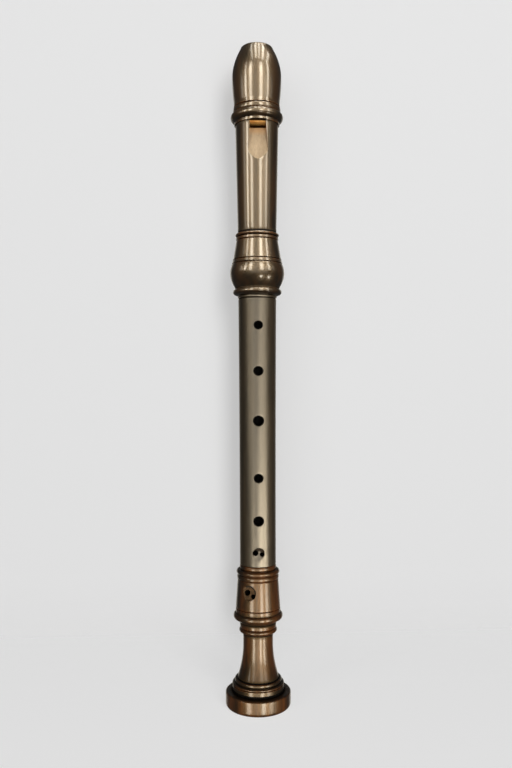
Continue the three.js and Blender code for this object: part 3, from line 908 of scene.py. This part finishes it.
def makeHead(values):
    bore, margin = values["bore"], values["innerMargins"]
    socketRadius, socketFloor = values["socketRadius"], headBottom + values["socketDepth"]
    outside = cutOutline((socketRadius, headBottom), values["turns"])
    inside = [(bore, headTop), (bore, socketFloor), (socketRadius, socketFloor)]

    def inner(radius, height):
        inBore = (radius < bore + margin["bore"]) & (height < headTop - margin["top"])
        inSocket = (radius < socketRadius + margin["socket"]) & (height < socketFloor + margin["floor"])
        return (inBore | inSocket) & (height > headBottom + margin["bottom"])

    outline = np.vstack([outside, inside])
    head = turnedPiece("head", outline, values["soft"], turnedMaterials("headWood"), inner)
    cutters = [
        windwayCutter(values), windowCutter(values), rampCutter(values),
        beakCutter(values, woods["headWood"]),
    ]
    finishPiece(combine(head, cutters), "head_joint", "head")


makeHead(headValues)


# block

blockValues = {
    "gap": 0.15,
    "floorInner": 8.45,     # the windway's floor in front of the axis, at the window
    "floorOuter": 7.7,      # and at the beak's end
    "chamfer": 0.35,
    "frontChamfer": 0.5,    # on the front edge, at the window
}


# a plug with bevelled ends and a key in front, cut off flat along the windway's floor
def makeBlock(values, head):
    radius = head["bore"] - values["gap"]
    bevel = values["chamfer"]
    outline = np.array([
        (radius - bevel, blockBottom), (radius, blockBottom + bevel), (radius, blockTop - bevel),
        (radius - bevel, blockTop),
    ])
    cedar = woods["cedar"]
    block = faceOutwards(ringStack("block_plug", spin(outline), cedar))
    width = head["windwayWidth"] - 2 * values["gap"]
    inner, outer = values["floorInner"], values["floorOuter"]
    key = sidewaysPrism("key", [
        (blockBottom, 0), (blockTop, 0), (blockTop, outer), (blockBottom, inner),
    ], width, cedar)
    combine(block, [key], "UNION")
    past, front = head["past"], values["frontChamfer"]
    above = sidewaysPrism("above", [
        (blockBottom - past, inner - front), (blockBottom, inner - front), (blockBottom + front, inner),
        (blockTop, outer), (blockTop + past, outer),
        (blockTop + past, head["bore"] + past), (blockBottom - past, head["bore"] + past),
    ], 2 * head["bore"] + past, cedar)
    combine(block, [above, beakCutter(head, cedar)])
    finishPiece(block, "block", "block")


makeBlock(blockValues, headValues)


# corks

corkShape = {"soft": 0.1, "thickness": 0.9, "crown": 0.08}


# a thin ring whose outside is very slightly crowned: half an ellipse on a straight band; all one material
def makeCorkBand(name, node, body, values):
    low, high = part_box(node)
    outer = high.x / mm
    bottom, top = low.z / mm, high.z / mm
    root = outer - values["crown"]
    band = cutOutline((root, bottom), [("bead", root, top - bottom, values["crown"])])
    inside = [(outer - values["thickness"], top), (outer - values["thickness"], bottom)]
    piece = turnedPiece(name, np.vstack([band, inside]), values["soft"], [cork, cork, cork],
                        lambda radius, height: radius < 0)
    finishPiece(piece, node, body)


makeCorkBand("lower_cork_band", "lower_tenon_cork", "lower_cork", corkShape)
makeCorkBand("upper_cork_band", "upper_tenon_cork", "upper_cork", corkShape)


# stage: a floor, a sheet of pale paper close behind and a far pale surround; only the camera sees them

stageValues = {
    "floorReach": 1400,     # from the axis to each side
    "floorFade": 1100,      # the floor thins out over this distance
    "floorColour": colour(158, 158, 158),
    "floorGlow": 0.61,
    "paperBehind": 30,
    "paperHalfWidth": 520,
    "paperTop": 1000,
    "paperFade": 240,
    "paperFoot": 90,        # the sheet fades into the floor over this height
    "paperColour": colour(170, 170, 170),
    "paperGlow": 0.42,
    "surround": 6000,
    "surroundRings": 24,
    "surroundSides": 48,
    "poleAngle": 0.02,      # radians that the flat caps at the poles take up
    "surroundColour": colour(225, 225, 225),
}


def cameraOnly(thing):
    thing.visible_diffuse = False
    thing.visible_glossy = False
    thing.visible_transmission = False
    thing.visible_shadow = False


def flatSheet(name, corners, material):
    sheet = newObject(name, np.array(corners, float), [[0, 1, 2, 3]])
    sheet.data.materials.append(material)
    cameraOnly(sheet)


def emptyMaterial(name):
    material = bpy.data.materials.new(name)
    material.use_nodes = True
    material.node_tree.nodes.clear()
    return material, material.node_tree


# pale matt paper with a little light of its own, which shows only its front and thins out at its borders
def paperMaterial(name, tint, glow, mask):
    material, tree = emptyMaterial(name)
    place = tree.nodes.new("ShaderNodeTexCoord").outputs["Object"]
    back = tree.nodes.new("ShaderNodeNewGeometry").outputs["Backfacing"]
    matt = addNode(tree, "BsdfDiffuse", None, Color=tint)
    light = addNode(tree, "Emission", None, Color=(1, 1, 1, 1), Strength=glow)
    lit = addNode(tree, "AddShader", None, _0=matt.outputs[0], _1=light.outputs[0])
    clear = addNode(tree, "BsdfTransparent")
    front = calculate(tree, "SUBTRACT", mask(tree, place), back, clamp=True)
    both = addNode(tree, "MixShader", None, _0=front, _1=clear.outputs[0], _2=lit.outputs[0])
    addNode(tree, "OutputMaterial", None, _0=both.outputs[0])
    return material


def makeStage(values):
    reach, wide, tall = values["floorReach"], values["paperHalfWidth"], values["paperTop"]
    behind, fade = values["paperBehind"], values["paperFade"]

    def floorMask(tree, place):
        far = addNode(tree, "VectorMath", {"operation": "LENGTH"}, _0=place).outputs["Value"]
        return ranged(tree, far, reach * mm, (reach - values["floorFade"]) * mm)

    def paperMask(tree, place):
        side, _, height = addNode(tree, "SeparateXYZ", None, _0=place).outputs
        inWidth = ranged(tree, calculate(tree, "ABSOLUTE", side), wide * mm, (wide - fade) * mm)
        belowTop = ranged(tree, height, tall * mm, (tall - fade) * mm)
        aboveFoot = addNode(tree, "MapRange", {"interpolation_type": "SMOOTHSTEP"}, _0=height,
                            _2=values["paperFoot"] * mm).outputs[0]
        return calculate(tree, "MULTIPLY", calculate(tree, "MULTIPLY", inWidth, belowTop), aboveFoot)

    floor = paperMaterial("floorPaper", values["floorColour"], values["floorGlow"], floorMask)
    corners = [(-reach, -reach, 0), (reach, -reach, 0), (reach, reach, 0), (-reach, reach, 0)]
    flatSheet("floor", corners, floor)
    paper = paperMaterial("backPaper", values["paperColour"], values["paperGlow"], paperMask)
    corners = [(-wide, behind, 0), (wide, behind, 0), (wide, behind, tall), (-wide, behind, tall)]
    flatSheet("back_paper", corners, paper)
    makeSurround(values)


# a far closed ball seen from inside: (R sin p cos q, R sin p sin q, R cos p), one plain pale tone
def makeSurround(values):
    steep = np.linspace(values["poleAngle"], math.pi - values["poleAngle"], values["surroundRings"])
    around = circle(values["surroundSides"])
    points = values["surround"] * np.stack([
        np.outer(np.sin(steep), np.cos(around)),
        np.outer(np.sin(steep), np.sin(around)),
        np.outer(np.cos(steep), np.ones_like(around)),
    ], axis=-1)
    material, tree = emptyMaterial("surround")
    glow = addNode(tree, "Emission", None, Color=values["surroundColour"], Strength=1.0)
    addNode(tree, "OutputMaterial", None, _0=glow.outputs[0])
    cameraOnly(ringStack("surround", points, material))


makeStage(stageValues)
print("stage made")


# lights: upright strips before and behind the instrument in rows, bars over the beak and broad soft lamps

lightValues = {
    "away": 1.0,            # metres from the axis
    "tint": colour(255, 249, 234),
    # rows: lowest and highest point in metres, and what they light;
    # their strips: degrees right of the camera, width, radiance
    "rows": [
        {"low": -0.55, "high": -0.34, "lit": ("foot", "block"),
         "strips": [(-32, 0.24, 7.2), (-4, 0.20, 0.8), (19, 0.22, 9.6), (46, 0.22, 4.2), (60, 0.22, 0.8)]},
        {"low": -0.34, "high": -0.02, "lit": ("foot", "block"),
         "strips": [(-32, 0.24, 8.8), (-4, 0.20, 1.2), (19, 0.22, 11.0), (46, 0.22, 9.6), (60, 0.22, 1.2)]},
        {"low": -0.55, "high": -0.02, "lit": ("middle",),
         "strips": [(-29, 0.20, 5.4), (8, 0.20, 5.6), (22, 0.24, 10.0), (48, 0.30, 10.0)]},
        {"low": -0.20, "high": -0.02, "lit": ("head",), "strips": [(18, 0.18, 18.0), (54, 0.18, 16.0)]},
        {"low": 0.06, "high": 0.42, "lit": ("foot", "middle"),
         "strips": [(-53, 0.14, 3.0), (-29, 0.24, 1.6), (20, 0.28, 2.0), (46, 0.28, 2.0)]},
        {"low": 0.48, "high": 0.80, "lit": ("head",),
         "strips": [(-72, 0.20, 2.0), (-53, 0.14, 15.0), (-29, 0.22, 10.0), (-6, 0.2, 0.6), (20, 0.24, 11.0),
                    (40, 0.16, 2.4), (53, 0.16, 10.0), (72, 0.2, 1.0)]},
        {"low": 0.56, "high": 0.80, "lit": ("middle",),
         "strips": [(-53, 0.14, 12.5), (-29, 0.22, 6.6), (20, 0.24, 7.6), (53, 0.16, 7.4)]},
        {"low": 0.80, "high": 1.08, "lit": ("head",),
         "strips": [(-53, 0.09, 11.0), (-29, 0.22, 14.0), (20, 0.24, 15.0), (53, 0.12, 16.0)]},
        {"low": 1.08, "high": 1.26, "lit": ("head",),
         "strips": [(-53, 0.09, 5.4), (-29, 0.22, 9.0), (20, 0.24, 10.0), (53, 0.12, 9.0)]},
        {"low": -0.55, "high": -0.08, "lit": ("foot",), "strips": [(180, 0.32, 1.5), (180, 0.05, 46.0)]},
        {"low": -0.35, "high": 0.75, "lit": ("middle",), "strips": [(180, 0.32, 1.5), (180, 0.05, 30.0)]},
        {"low": 0.32, "high": 0.75, "lit": ("head", "block"),
         "strips": [(180, 0.32, 1.5), (180, 0.05, 46.0)]},
        {"low": -0.40, "high": -0.02, "lit": ("block",), "strips": [(0, 0.3, 18.0)]},
        {"low": 0.20, "high": 2.40, "lit": ("stage",), "away": 2.4,
         "strips": [(-40, 0.9, 1.6), (20, 0.9, 6.0)]},
    ],
    # bars that run from front to back over the beak: metres right of the axis, width, radiance
    "roof": {"front": 0.45, "height": 1.6, "aim": 0.47, "length": 0.9, "lit": ("head",),
             "bars": [(-0.42, 0.10, 8.0), (-0.10, 0.12, 12.0), (0.16, 0.10, 12.0), (0.48, 0.16, 14.0),
                      (0.95, 0.2, 9.0)]},
    # broad soft lamps: degrees right of the camera, lowest and highest point, radiance, what they light
    "broad": {"away": 1.5, "width": 2.2, "lamps": [
        (6, 0.15, 1.9, 0.9, ("head",)), (6, -0.9, 1.9, 0.7, ("middle", "stage")),
        (6, -0.9, 0.45, 0.9, ("foot",)),
        (180, 0.25, 1.1, 0.45, ("head", "block")), (180, -0.7, 1.1, 0.45, ("middle",)),
        (180, -0.9, 0.25, 0.45, ("foot",)),
    ]},
    "worldGrey": 0.045,
}


# groups of pieces that a lamp may be kept to
litPieces = {
    "foot": ("foot", "lower_cork_band"),
    "middle": ("middle", "upper_cork_band"),
    "head": ("head",),
    "block": ("block_plug",),
    "stage": ("floor", "back_paper"),
}


# links a lamp to groups of pieces; the stage's lamps stay white
def keepTo(lamp, groups):
    if "stage" not in groups:
        lamp.data.color = lightValues["tint"][:3]
    lit = bpy.data.collections.new("lit_by_" + lamp.name)
    for group in groups:
        for name in litPieces[group]:
            lit.objects.link(bpy.data.objects[name])
    lamp.light_linking.receiver_collection = lit


# a rectangular lamp whose power is its radiance times pi times its area
def areaLamp(name, place, target, width, tall, radiance):
    data = bpy.data.lights.new(name, "AREA")
    data.shape = "RECTANGLE"
    data.size, data.size_y = width, tall
    data.energy = radiance * math.pi * width * tall
    lamp = bpy.data.objects.new(name, data)
    scene.collection.objects.link(lamp)
    lamp.location = place
    lamp.rotation_mode = "QUATERNION"
    lamp.rotation_quaternion = (Vector(target) - Vector(place)).to_track_quat("-Z", "Y")
    lamp.visible_camera = False
    return lamp


def uprightLamp(name, degrees, width, low, high, radiance, away):
    turn = math.radians(degrees + cameraValues["turn"])
    middle = (low + high) / 2
    place = (away * math.sin(turn), -away * math.cos(turn), middle)
    return areaLamp(name, place, (0, 0, middle), width, high - low, radiance)


def roofLamp(right, width, radiance, values):
    place = (right, -values["front"], values["height"])
    return areaLamp("roof", place, (right, 0, values["aim"]), width, values["length"], radiance)


def makeLights(values):
    for row in values["rows"]:
        away = row.get("away", values["away"])
        for turn, width, radiance in row["strips"]:
            keepTo(uprightLamp("strip", turn, width, row["low"], row["high"], radiance, away), row["lit"])
    for right, width, radiance in values["roof"]["bars"]:
        keepTo(roofLamp(right, width, radiance, values["roof"]), values["roof"]["lit"])
    broad = values["broad"]
    for turn, low, high, radiance, lit in broad["lamps"]:
        keepTo(uprightLamp("broad", turn, broad["width"], low, high, radiance, broad["away"]), lit)
    world = bpy.data.worlds.new("studio")
    world.use_nodes = True
    world.node_tree.nodes["Background"].inputs["Color"].default_value = (*[values["worldGrey"]] * 3, 1)
    scene.world = world


makeLights(lightValues)
print("lights made")
